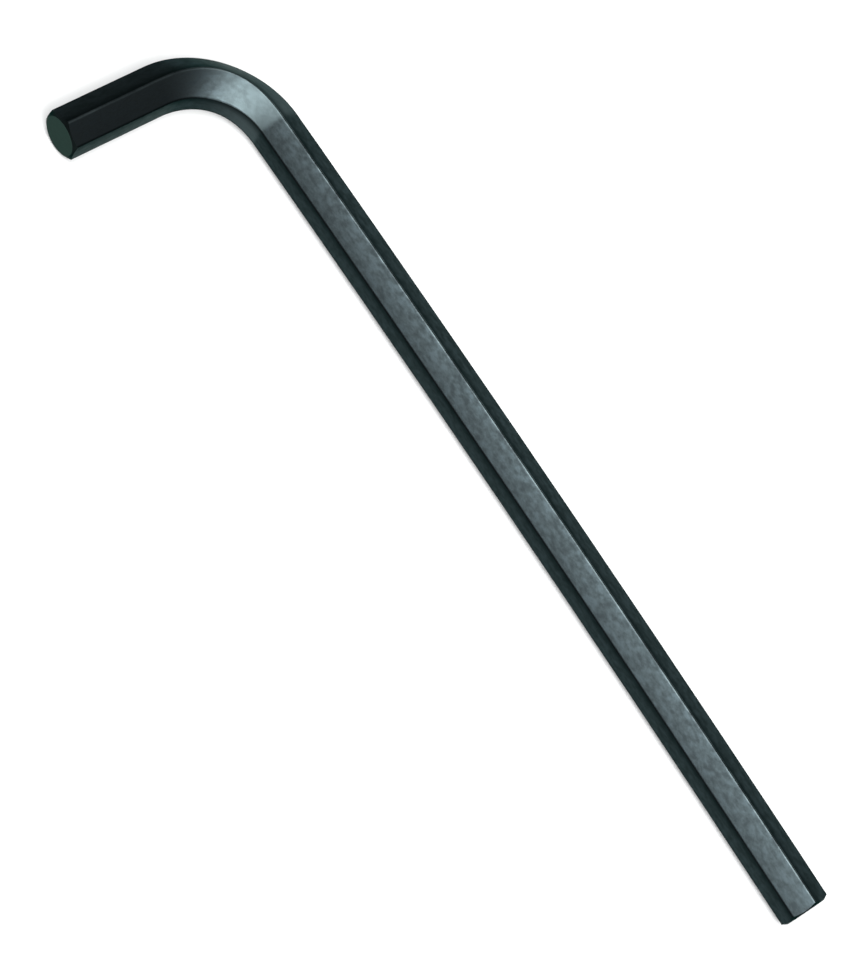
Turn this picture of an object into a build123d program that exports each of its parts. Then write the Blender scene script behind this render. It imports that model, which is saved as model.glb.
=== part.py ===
from build123d import *
import os

# Hex key: one length of hexagonal steel bar, bent once into an L, with a turned bevel on each tip.
#
# The key lies flat, with a ridge of the bar up and a ridge down, so one flat faces the inside of the
# bend. The long arm runs along +X and the short arm along -Y. The origin is at the middle of the space
# that the key fills, on the surface it lies on. Millimetres, +Z up.

os.makedirs("parts", exist_ok=True)

# the bar
across_flats = 10.0
ridge_radius = 0.4  # rounding along the six ridges of the drawn bar

# the bent key, measured over the outside of the bend
long_arm = 227.0
short_arm = 49.5
inside_bend_radius = 15.2  # on the flat that faces the inside of the bend

# the bevel turned on each tip
tip_face_diameter = 9.3
bevel_depth = 0.65  # how far back along the arm the bevel reaches at the ridges

# worked out from the sizes above
half_flats = across_flats / 2
sharp_half_corners = across_flats / 3**0.5
half_corners = sharp_half_corners - ridge_radius * (2 / 3**0.5 - 1)  # to the rounded ridge
bend_radius = inside_bend_radius + half_flats  # on the bar's centre line

corner = Vector(half_flats - long_arm / 2, short_arm / 2 - half_flats, half_corners)
long_tip = corner + Vector(long_arm - half_flats, 0, 0)
short_tip = corner + Vector(0, half_flats - short_arm, 0)

# planes on the tips, facing out along each arm, with their local x upwards
long_tip_plane = Plane(origin=long_tip, x_dir=(0, 0, 1), z_dir=(1, 0, 0))
short_tip_plane = Plane(origin=short_tip, x_dir=(0, 0, 1), z_dir=(0, -1, 0))


with BuildPart() as hex_key:
    # the bar's route: two straight arms and the bend between them
    with BuildLine() as centre_line:
        FilletPolyline(long_tip, corner, short_tip, radius=bend_radius)

    # the bar's section, with its ridges at the top and the bottom
    with BuildSketch(long_tip_plane) as section:
        RegularPolygon(radius=sharp_half_corners, side_count=6)
        fillet(section.vertices(), radius=ridge_radius)
    sweep()

    # the bevels: a ring cut from each tip, a cone on its inside
    for tip_plane in (long_tip_plane, short_tip_plane):
        lengthwise = Plane(origin=tip_plane.origin, x_dir=tip_plane.x_dir, z_dir=tip_plane.y_dir * -1)
        bevel_run = half_corners - tip_face_diameter / 2
        with BuildSketch(lengthwise) as bevel_profile:
            with BuildLine():
                Polyline(
                    (half_corners - 2 * bevel_run, bevel_depth),
                    (half_corners + bevel_run, bevel_depth),
                    (half_corners + bevel_run, -2 * bevel_depth),
                    close=True,
                )
            make_face()
        revolve(axis=Axis(tip_plane.origin, tip_plane.z_dir), mode=Mode.SUBTRACT)

hex_key.part.label = "hex_key"
export_step(hex_key.part, "parts/hex_key.step")
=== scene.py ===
import math

import bmesh
import bpy
from mathutils import Matrix, Vector


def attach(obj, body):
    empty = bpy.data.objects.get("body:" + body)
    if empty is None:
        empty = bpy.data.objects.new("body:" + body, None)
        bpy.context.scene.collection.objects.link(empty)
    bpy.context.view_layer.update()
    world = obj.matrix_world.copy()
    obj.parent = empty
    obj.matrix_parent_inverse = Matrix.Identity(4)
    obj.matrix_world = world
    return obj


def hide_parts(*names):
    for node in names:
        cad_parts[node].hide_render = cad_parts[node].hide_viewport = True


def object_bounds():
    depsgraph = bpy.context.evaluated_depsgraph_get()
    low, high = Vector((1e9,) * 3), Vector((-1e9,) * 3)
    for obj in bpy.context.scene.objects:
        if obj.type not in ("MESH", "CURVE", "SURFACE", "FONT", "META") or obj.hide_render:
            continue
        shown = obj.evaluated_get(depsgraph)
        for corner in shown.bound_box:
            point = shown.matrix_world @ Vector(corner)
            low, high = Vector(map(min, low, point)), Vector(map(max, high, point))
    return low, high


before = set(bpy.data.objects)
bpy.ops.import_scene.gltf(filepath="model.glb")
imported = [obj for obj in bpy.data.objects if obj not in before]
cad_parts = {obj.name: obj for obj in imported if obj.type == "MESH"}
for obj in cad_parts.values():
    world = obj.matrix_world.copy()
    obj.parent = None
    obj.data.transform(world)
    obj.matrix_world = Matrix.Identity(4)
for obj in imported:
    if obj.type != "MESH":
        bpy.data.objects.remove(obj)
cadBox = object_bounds()
mm = 0.001

# the bar and the bend, the same sizes as the CAD key
keyShape = {
    "acrossFlats": 10.0 * mm,
    "ridgeRadius": 0.4 * mm,
    "longArm": 227.0 * mm,
    "shortArm": 49.5 * mm,
    "insideBendRadius": 15.2 * mm,
    "tipFaceDiameter": 9.3 * mm,
    "bevelDepth": 0.65 * mm,
}

# how finely the mesh follows it
keyMesh = {
    "flatSteps": 8,       # across one flat, closer together by its ridges
    "ridgeSteps": 6,      # round one ridge
    "armSpacing": 0.9 * mm,
    "bendSteps": 72,
    "bevelSteps": 3,
    "faceRings": 6,
    "sharpAngle": 22,     # degrees past which two faces meet in a crisp edge
}

# what drawing and bending leave on the bar, and where the painted bend highlight and the painted seam shade
# go
keyWear = {
    "bow": 0.9 * mm,          # the long arm isn't quite straight
    "bendRoll": 8.0,          # degrees the section rolls over as it goes round the bend
    # how far the bend pushes each ridge (inwards, up), from the top ridge round over the inside
    "bendShifts": [
        (-0.60 * mm, 0.15 * mm), (0.25 * mm, -0.70 * mm), (-0.45 * mm, 0),
        (0, 0), (0.10 * mm, 0), (0.10 * mm, 0)],
    "highlightStarts": (30, 75),   # degrees round the bend over which its painted highlight comes in
    "skinEnds": (90, 85),     # and over which it goes out again
    "flatCrown": 0.05 * mm,   # a drawn flat stands a little proud in its middle
    "ripple": 0.012 * mm,     # slow waves left by the drawing die
    "rippleLength": 26 * mm,
    "paintedShadeSeam": 0.38,         # share of a side flat below its upper ridge that gets the painted shade
}

# everything the black oxide needs, sizes in mm
blackOxide = {
    "colour": "#2b3234",        # black oxide has a green-blue cast
    "palerGrain": "#30383b",
    "darkerGrain": "#252b2d",
    "rubbedRidgeHighlight": "#495355",   # thin oxide on the ridges, steel nearly showing, with a painted highlight along them
    "bendHighlight": "#465052",      # painted highlight over the part of the bend that catches the light
    "bendHighlightStrength": 0.75,
    "paintedShadeSeam": "#0d1213",      # painted shade, nearly black beside the upper ridges
    "paintedShadeStrength": 0.8,
    "bevelShade": "#151b1b",         # painted shade on the turned bevels
    "endFace": "#2f3b37",       # the cropped ends take the oxide paler and greener
    "edgeTint": "#b2bab8",      # keeps the glancing shine dull
    "roughness": 0.33,
    "darkRougher": 0.06,        # dark grain is duller than that, pale grain glossier
    "paleGlossier": 0.04,
    "grainSize": 0.50,          # mottle of the oiled oxide, drawn about twice as coarse as real
    "blotchSize": 4.0,          # patches where the oil lies thinner
    "blotchWeight": 0.30,       # how much the patches count beside the grain
    "mottleRange": (0.38, 0.62),
    "rubbedHighlightRange": (0.42, 0.60),
    "rubbedHighlightShare": (0.15, 0.85),
    "stretch": 0.55,            # the mottle is longer along the bar
    "bendMarkSize": 0.7,        # fine cross marks where the bar stretched round the former
    "grainDepth": 0.012,
}

studio = {
    "floorColour": "#c6c7c7",
    "floorLift": 0.24,          # whitens the floor where it is seen, not where it lights the key
    "floorReach": 6.0,
    "floorGap": 0.02 * mm,
    "worldColour": "#ffffff",
    "worldStrength": 0.22,
}

# size across and distance in metres, power in watts, and where it stands
lamps = {
    "softbox": (0.62, 1.15, 10.8, (-0.10, -0.24, 0.95)),
    "accent": (0.60, 1.40, 25.0, (0.42, -0.31, 0.855)),
    "backFill": (0.90, 1.60, 3.0, (-0.16, 0.96, 0.22)),
}

shot = {
    "lens": 133.9,
    "sensor": 36.0,
    "distance": 0.7632,
    "azimuth": 16.45,
    "elevation": 60.33,
    "roll": 41.64,
    "aim": (-3.66 * mm, 3.01 * mm),   # on the bar's mid plane
}


def toLinear(hexColour):
    channels = [int(hexColour[i:i + 2], 16) / 255 for i in (1, 3, 5)]
    return tuple(c / 12.92 if c <= 0.04045 else ((c + 0.055) / 1.055) ** 2.4 for c in channels) + (1.0,)


def addNode(tree, kind, settings=None, links=None):
    node = tree.nodes.new(kind)
    for name, value in (settings or {}).items():
        if isinstance(name, int) or name in node.inputs:
            node.inputs[name].default_value = value
        else:
            setattr(node, name, value)
    for name, source in (links or {}).items():
        tree.links.new(source, node.inputs[name])
    return node


def newMaterial(name):
    material = bpy.data.materials.new(name)
    material.use_nodes = True
    material.node_tree.nodes.clear()
    return material, material.node_tree


# the key's centre line and its section

def keyFrame():
    low, high = (Vector(corner) for corner in cadBox)
    half = keyShape["acrossFlats"] / 2
    corner = Vector((low.x + half, high.y - half, (low.z + high.z) / 2))
    bend = keyShape["insideBendRadius"] + half
    return corner, bend


def keyStations():
    # from the short tip round to the long tip: place, inward direction, roll, distance along, how bent
    corner, bend = keyFrame()
    half = keyShape["acrossFlats"] / 2
    shortEnd = keyShape["shortArm"] - half
    longEnd = keyShape["longArm"] - half
    centre = corner + Vector((bend, -bend, 0))
    depth = keyShape["bevelDepth"]
    stations = []
    length = shortEnd - bend - depth
    steps = max(2, round(length / keyMesh["armSpacing"]))
    for i in range(steps):
        along = length * i / steps
        place = corner + Vector((0, along + depth - shortEnd, 0))
        stations.append((place, Vector((1, 0, 0)), 0.0, along, 0.0))
    for i in range(keyMesh["bendSteps"]):
        share = i / keyMesh["bendSteps"]
        turn = share * math.pi / 2
        inward = Vector((math.cos(turn), -math.sin(turn), 0))
        bent = math.sin(math.pi * share) ** 2
        roll = math.radians(keyWear["bendRoll"]) * bent
        stations.append((centre - inward * bend, inward, roll, length + bend * turn, bent))
    length += bend * math.pi / 2
    straight = longEnd - bend - depth
    steps = round(straight / keyMesh["armSpacing"])
    for i in range(steps + 1):
        share = i / steps
        bow = keyWear["bow"] * 4 * share * (1 - share)
        place = corner + Vector((bend + straight * share, bow, 0))
        stations.append((place, Vector((0, -1, 0)), 0.0, length + straight * share, 0.0))
    return stations


def barSection():
    # points round the bar as (inward, upward), each with how rubbed and highlighted and how much painted
    # shade it takes there
    half = keyShape["acrossFlats"] / 2
    radius = keyShape["ridgeRadius"]
    reach = (half - radius) * 2 / math.sqrt(3)
    points = []
    for ridge in range(6):
        angle = math.radians(60 * ridge)
        middle = Vector((math.sin(angle), math.cos(angle))) * reach
        for i in range(keyMesh["ridgeSteps"] + 1):
            turn = angle + math.radians(60) * (i / keyMesh["ridgeSteps"] - 0.5)
            # the top and bottom ridges get the rubbed colour with a painted highlight
            rubbedHighlight = 1.0 if ridge in (0, 3) else 0.0
            onRidge = middle + Vector((math.sin(turn), math.cos(turn))) * radius
            # the other four ridges take the painted shade all the way round
            points.append((onRidge, rubbedHighlight, 1.0 - rubbedHighlight))
        flat = angle + math.radians(30)
        facing = Vector((math.sin(flat), math.cos(flat)))
        nextAngle = angle + math.radians(60)
        start = middle + facing * radius
        end = Vector((math.sin(nextAngle), math.cos(nextAngle))) * reach + facing * radius
        for i in range(1, keyMesh["flatSteps"]):
            share = (1 - math.cos(math.pi * i / keyMesh["flatSteps"])) / 2
            crown = keyWear["flatCrown"] * 4 * share * (1 - share)
            fromUpperRidge = {1: share, 4: 1 - share, 5: 1 - share}.get(ridge, 1.0)
            # painted shade on a side flat just below its upper ridge
            paintedShade = max(0.0, 1 - fromUpperRidge / keyWear["paintedShadeSeam"])
            points.append((start.lerp(end, share) + facing * crown, 0.0, paintedShade))
    return points


def smoothStep(start, end, value):
    share = min(max((value - start) / (end - start), 0.0), 1.0)
    return share * share * (3 - 2 * share)


def bendShift(point):
    # what the bend does to one point of the section, between the shifts of the ridges beside it
    shifts = [Vector(shift) for shift in keyWear["bendShifts"]]
    turn = math.degrees(math.atan2(point.x, point.y)) % 360 / 60
    ridge = int(turn)
    return shifts[ridge % 6].lerp(shifts[(ridge + 1) % 6], turn - ridge)


def buildKey():
    section = barSection()
    stations = keyStations()
    count = len(section)
    up = Vector((0, 0, 1))
    depth = keyShape["bevelDepth"]
    faceRadius = keyShape["tipFaceDiameter"] / 2
    halfCorners = max(point.length for point, _, _ in section)
    mesh = bmesh.new()
    straightPlace = mesh.verts.layers.float_vector.new("straightPlace")
    ridgeShare = mesh.verts.layers.float.new("ridgeShare")
    bentShare = mesh.verts.layers.float.new("bentShare")
    bendHighlightMask = mesh.verts.layers.float.new("bendHighlightMask")
    paintedShadeMask = mesh.verts.layers.float.new("paintedShadeMask")
    bevelShare = mesh.faces.layers.float.new("bevelShare")
    faceShare = mesh.faces.layers.float.new("faceShare")

    def addRing(points, place, inward, outward, roll, along, bent, aheads):
        ring = []
        cosine, sine = math.cos(roll), math.sin(roll)
        turn = math.degrees(math.atan2(-inward.y, inward.x))
        # painted highlight over the part of the bend that catches the light
        bendLit = smoothStep(*keyWear["highlightStarts"], turn) * smoothStep(*keyWear["skinEnds"], turn)
        for (point, ridge, paintedShade), ahead in zip(points, aheads):
            pushed = point + bendShift(point) * bent
            x = pushed.x * cosine - pushed.y * sine
            y = pushed.x * sine + pushed.y * cosine
            vert = mesh.verts.new(place + inward * x + up * y + outward * ahead)
            vert[straightPlace] = Vector((point.x, point.y, along + ahead))
            vert[ridgeShare] = ridge
            vert[bentShare] = bent
            vert[paintedShadeMask] = paintedShade
            vert[bendHighlightMask] = bendLit
            ring.append(vert)
        return ring

    def joinRings(first, second, onBevel=0.0, onFace=0.0):
        for i in range(count):
            j = (i + 1) % count
            face = mesh.faces.new((first[i], first[j], second[j], second[i]))
            face[bevelShare] = onBevel
            face[faceShare] = onFace

    previous = None
    for place, inward, roll, along, bent in stations:
        ripple = 1 + keyWear["ripple"] / halfCorners * math.sin(along * 2 * math.pi / keyWear["rippleLength"])
        points = [(point * min(ripple, 1.0), ridge, paintedShade) for point, ridge, paintedShade in section]
        ring = addRing(points, place, inward, up, roll, along, bent, [0.0] * count)
        if previous:
            joinRings(previous, ring)
        else:
            firstRing = ring
        previous = ring

    def closeTip(ring, station, outward, forward):
        # the cone turned on the tip: deepest on the ridges, shallow on the flats, then the round face
        place, inward, roll, along, bent = station
        slope = depth / (halfCorners - faceRadius)
        edge = [depth - slope * max(0.0, point.length - faceRadius) for point, _, _ in section]
        steps = keyMesh["bevelSteps"]
        rings = [(section, edge)]
        for step in range(1, steps + 1):
            share = step / steps
            points = []
            for point, _, _ in section:
                onCircle = point.normalized() * min(faceRadius, point.length)
                points.append((point.lerp(onCircle, share), 0.0, 0.0))
            aheads = [depth - slope * max(0.0, point.length - faceRadius) for point, _, _ in points]
            rings.append((points, aheads))
        for step in range(1, keyMesh["faceRings"]):
            share = 1 - step / keyMesh["faceRings"]
            points = [(point.normalized() * faceRadius * share, 0.0, 0.0) for point, _, _ in section]
            rings.append((points, [depth] * count))
        for number, (points, aheads) in enumerate(rings):
            following = addRing(points, place, inward, outward, roll, along, bent, aheads)
            # the bevel rings get the painted shade, the round end face its own colour
            joinRings(ring, following, float(0 < number <= steps), float(number > steps))
            ring = following
        middle = mesh.verts.new(place + outward * depth)
        middle[straightPlace] = Vector((0, 0, along + forward * depth))
        for i in range(count):
            face = mesh.faces.new((ring[i], ring[(i + 1) % count], middle))
            face[faceShare] = 1.0

    closeTip(firstRing, stations[0], Vector((0, -1, 0)), -1)
    closeTip(previous, stations[-1], Vector((1, 0, 0)), 1)
    bmesh.ops.remove_doubles(mesh, verts=mesh.verts, dist=0.0001 * mm)
    bmesh.ops.recalc_face_normals(mesh, faces=mesh.faces)
    data = bpy.data.meshes.new("hexKeyBar")
    mesh.to_mesh(data)
    mesh.free()
    for face in data.polygons:
        face.use_smooth = True
    data.set_sharp_from_angle(angle=math.radians(keyMesh["sharpAngle"]))
    key = bpy.data.objects.new("hexKeyBar", data)
    bpy.context.scene.collection.objects.link(key)
    return key


def paintKey(key):
    # Black oxide over cold-drawn steel: a dull green-black skin, satin where it is oiled, with a fine mottle,
    # rubbed ridges with a painted highlight, a painted highlight over the bend, and painted shade beside the
    # upper ridges and on the bevels. It mirrors a lamp softly and goes nearly black where it mirrors nothing.
    material, tree = newMaterial("blackOxideDrawnSteel")
    place = addNode(tree, "ShaderNodeAttribute", {"attribute_name": "straightPlace"}).outputs["Vector"]
    ridge = addNode(tree, "ShaderNodeAttribute", {"attribute_name": "ridgeShare"}).outputs["Fac"]
    bent = addNode(tree, "ShaderNodeAttribute", {"attribute_name": "bentShare"}).outputs["Fac"]
    stretched = addNode(tree, "ShaderNodeMapping", {
        "Scale": (1 / mm, 1 / mm, blackOxide["stretch"] / mm)}, {"Vector": place}).outputs["Vector"]
    grain = addNode(tree, "ShaderNodeTexNoise", {
        "Scale": 0.5 / blackOxide["grainSize"], "Detail": 3.0, "Roughness": 0.6}, {"Vector": stretched})
    blotch = addNode(tree, "ShaderNodeTexNoise", {
        "Scale": 1 / blackOxide["blotchSize"], "Detail": 4.0, "Roughness": 0.65}, {"Vector": stretched})
    mottle = addNode(tree, "ShaderNodeMix", {"Factor": blackOxide["blotchWeight"]}, {
        "A": grain.outputs["Fac"], "B": blotch.outputs["Fac"]}).outputs["Result"]
    ramp = addNode(tree, "ShaderNodeValToRGB", links={"Fac": mottle})
    ends = ramp.color_ramp.elements
    ends[0].position, ends[1].position = blackOxide["mottleRange"]
    ends[0].color = toLinear(blackOxide["darkerGrain"])
    ends[1].color = toLinear(blackOxide["palerGrain"])
    ends.new(0.5).color = toLinear(blackOxide["colour"])

    # the ridges are rubbed and carry a painted highlight in broken stretches, wherever the blotches are light
    lowest, highest = blackOxide["rubbedHighlightRange"]
    least, most = blackOxide["rubbedHighlightShare"]
    rubbedHighlight = addNode(tree, "ShaderNodeMapRange", {
        "From Min": lowest, "From Max": highest, "To Min": least, "To Max": most}, {
        "Value": blotch.outputs["Fac"]})
    onRidge = addNode(tree, "ShaderNodeMath", {"operation": "MULTIPLY"}, {
        0: rubbedHighlight.outputs["Result"], 1: ridge}).outputs["Value"]
    colour = addNode(tree, "ShaderNodeMix", {
        "data_type": "RGBA", 7: toLinear(blackOxide["rubbedRidgeHighlight"])}, {
        0: onRidge, 6: ramp.outputs["Color"]}).outputs[2]

    # a painted highlight over the bend, painted shade beside the upper ridges,
    # and painted shade on the turned bevels
    for attribute, name, strength in (
            ("bendHighlightMask", "bendHighlight", blackOxide["bendHighlightStrength"]),
            ("paintedShadeMask", "paintedShadeSeam", blackOxide["paintedShadeStrength"]),
            ("bevelShare", "bevelShade", 1.0),
            ("faceShare", "endFace", 1.0)):
        where = addNode(tree, "ShaderNodeAttribute", {"attribute_name": attribute}).outputs["Fac"]
        weight = addNode(tree, "ShaderNodeMath", {"operation": "MULTIPLY", 1: strength}, {
            0: where}).outputs["Value"]
        colour = addNode(tree, "ShaderNodeMix", {
            "data_type": "RGBA", 7: toLinear(blackOxide[name])}, {0: weight, 6: colour}).outputs[2]

    rough = addNode(tree, "ShaderNodeMapRange", {
        "From Min": 0.35, "From Max": 0.65,
        "To Min": blackOxide["roughness"] + blackOxide["darkRougher"],
        "To Max": blackOxide["roughness"] - blackOxide["paleGlossier"]}, {"Value": mottle})

    # cross marks only where the bar went round the former
    crossed = addNode(tree, "ShaderNodeMapping", {
        "Scale": (0.12 / mm, 0.12 / mm, 1 / mm)}, {"Vector": place}).outputs["Vector"]
    marks = addNode(tree, "ShaderNodeTexNoise", {
        "Scale": 0.5 / blackOxide["bendMarkSize"], "Detail": 2.0}, {"Vector": crossed})
    bendMarks = addNode(tree, "ShaderNodeMath", {"operation": "MULTIPLY"}, {
        0: marks.outputs["Fac"], 1: bent}).outputs["Value"]
    height = addNode(tree, "ShaderNodeMath", {"operation": "ADD"}, {
        0: grain.outputs["Fac"], 1: bendMarks}).outputs["Value"]
    bump = addNode(tree, "ShaderNodeBump", {
        "Strength": 0.5, "Distance": blackOxide["grainDepth"] * mm}, {"Height": height})
    shader = addNode(tree, "ShaderNodeBsdfPrincipled", {
        "Metallic": 1.0, "Specular Tint": toLinear(blackOxide["edgeTint"])}, {
        "Base Color": colour, "Roughness": rough.outputs["Result"], "Normal": bump.outputs["Normal"]})
    addNode(tree, "ShaderNodeOutputMaterial", links={"Surface": shader.outputs["BSDF"]})
    key.data.materials.append(material)


def buildStudio():
    # Matt white paper, laid flat: takes the soft shadow and is seen as plain white.
    floorData = bpy.data.meshes.new("paperFloor")
    reach = studio["floorReach"]
    corners = [(-reach, -reach, 0), (reach, -reach, 0), (reach, reach, 0), (-reach, reach, 0)]
    floorData.from_pydata(corners, [], [(0, 1, 2, 3)])
    floor = bpy.data.objects.new("paperFloor", floorData)
    floor.location.z = cadBox[0][2] - studio["floorGap"]
    bpy.context.scene.collection.objects.link(floor)
    material, tree = newMaterial("mattWhitePaper")
    matt = addNode(tree, "ShaderNodeBsdfDiffuse", {
        "Color": toLinear(studio["floorColour"]), "Roughness": 0.5})
    rays = addNode(tree, "ShaderNodeLightPath")
    seen = addNode(tree, "ShaderNodeMath", {"operation": "MAXIMUM"}, {
        0: rays.outputs["Is Camera Ray"], 1: rays.outputs["Is Glossy Ray"]})
    seenToo = addNode(tree, "ShaderNodeMath", {"operation": "MAXIMUM"}, {
        0: seen.outputs["Value"], 1: rays.outputs["Is Transmission Ray"]})
    lift = addNode(tree, "ShaderNodeMath", {"operation": "MULTIPLY", 1: studio["floorLift"]}, {
        0: seenToo.outputs["Value"]})
    glow = addNode(tree, "ShaderNodeEmission", {"Color": (1, 1, 1, 1)}, {"Strength": lift.outputs["Value"]})
    both = addNode(tree, "ShaderNodeAddShader", links={0: matt.outputs["BSDF"], 1: glow.outputs["Emission"]})
    addNode(tree, "ShaderNodeOutputMaterial", links={"Surface": both.outputs["Shader"]})
    floorData.materials.append(material)

    world = bpy.data.worlds.new("softRoom")
    world.use_nodes = True
    background = world.node_tree.nodes["Background"]
    background.inputs["Color"].default_value = toLinear(studio["worldColour"])
    background.inputs["Strength"].default_value = studio["worldStrength"]
    bpy.context.scene.world = world

    for name, (size, distance, power, stands) in lamps.items():
        data = bpy.data.lights.new(name, "AREA")
        data.shape = "SQUARE"
        data.size = size
        data.energy = power
        lamp = bpy.data.objects.new(name, data)
        towards = Vector(stands).normalized()
        lamp.location = towards * distance
        lamp.rotation_euler = towards.to_track_quat("Z", "Y").to_euler()
        bpy.context.scene.collection.objects.link(lamp)


def buildCamera():
    azimuth, elevation, roll = (math.radians(shot[k]) for k in ("azimuth", "elevation", "roll"))
    outward = math.cos(elevation)
    back = Vector((outward * math.sin(azimuth), -outward * math.cos(azimuth), math.sin(elevation)))
    level = Vector((math.cos(azimuth), math.sin(azimuth), 0))
    upward = back.cross(level)
    right = level * math.cos(roll) + upward * math.sin(roll)
    data = bpy.data.cameras.new("camera")
    data.lens = shot["lens"]
    data.sensor_width = shot["sensor"]
    data.sensor_fit = "AUTO"
    data.clip_end = 50
    camera = bpy.data.objects.new("camera", data)
    low, high = (Vector(corner) for corner in cadBox)
    aim = Vector(shot["aim"] + ((low.z + high.z) / 2,))
    turn = Matrix((right, back.cross(right), back)).transposed()
    camera.matrix_world = Matrix.Translation(aim + back * shot["distance"]) @ turn.to_4x4()
    bpy.context.scene.collection.objects.link(camera)
    bpy.context.scene.camera = camera


buildCamera()
print("camera set")
key = buildKey()
paintKey(key)
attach(key, "root")
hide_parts("hex_key")
print("key built:", len(key.data.polygons), "faces")
buildStudio()
print("floor and lights set")
bpy.context.scene.view_settings.view_transform = "Standard"
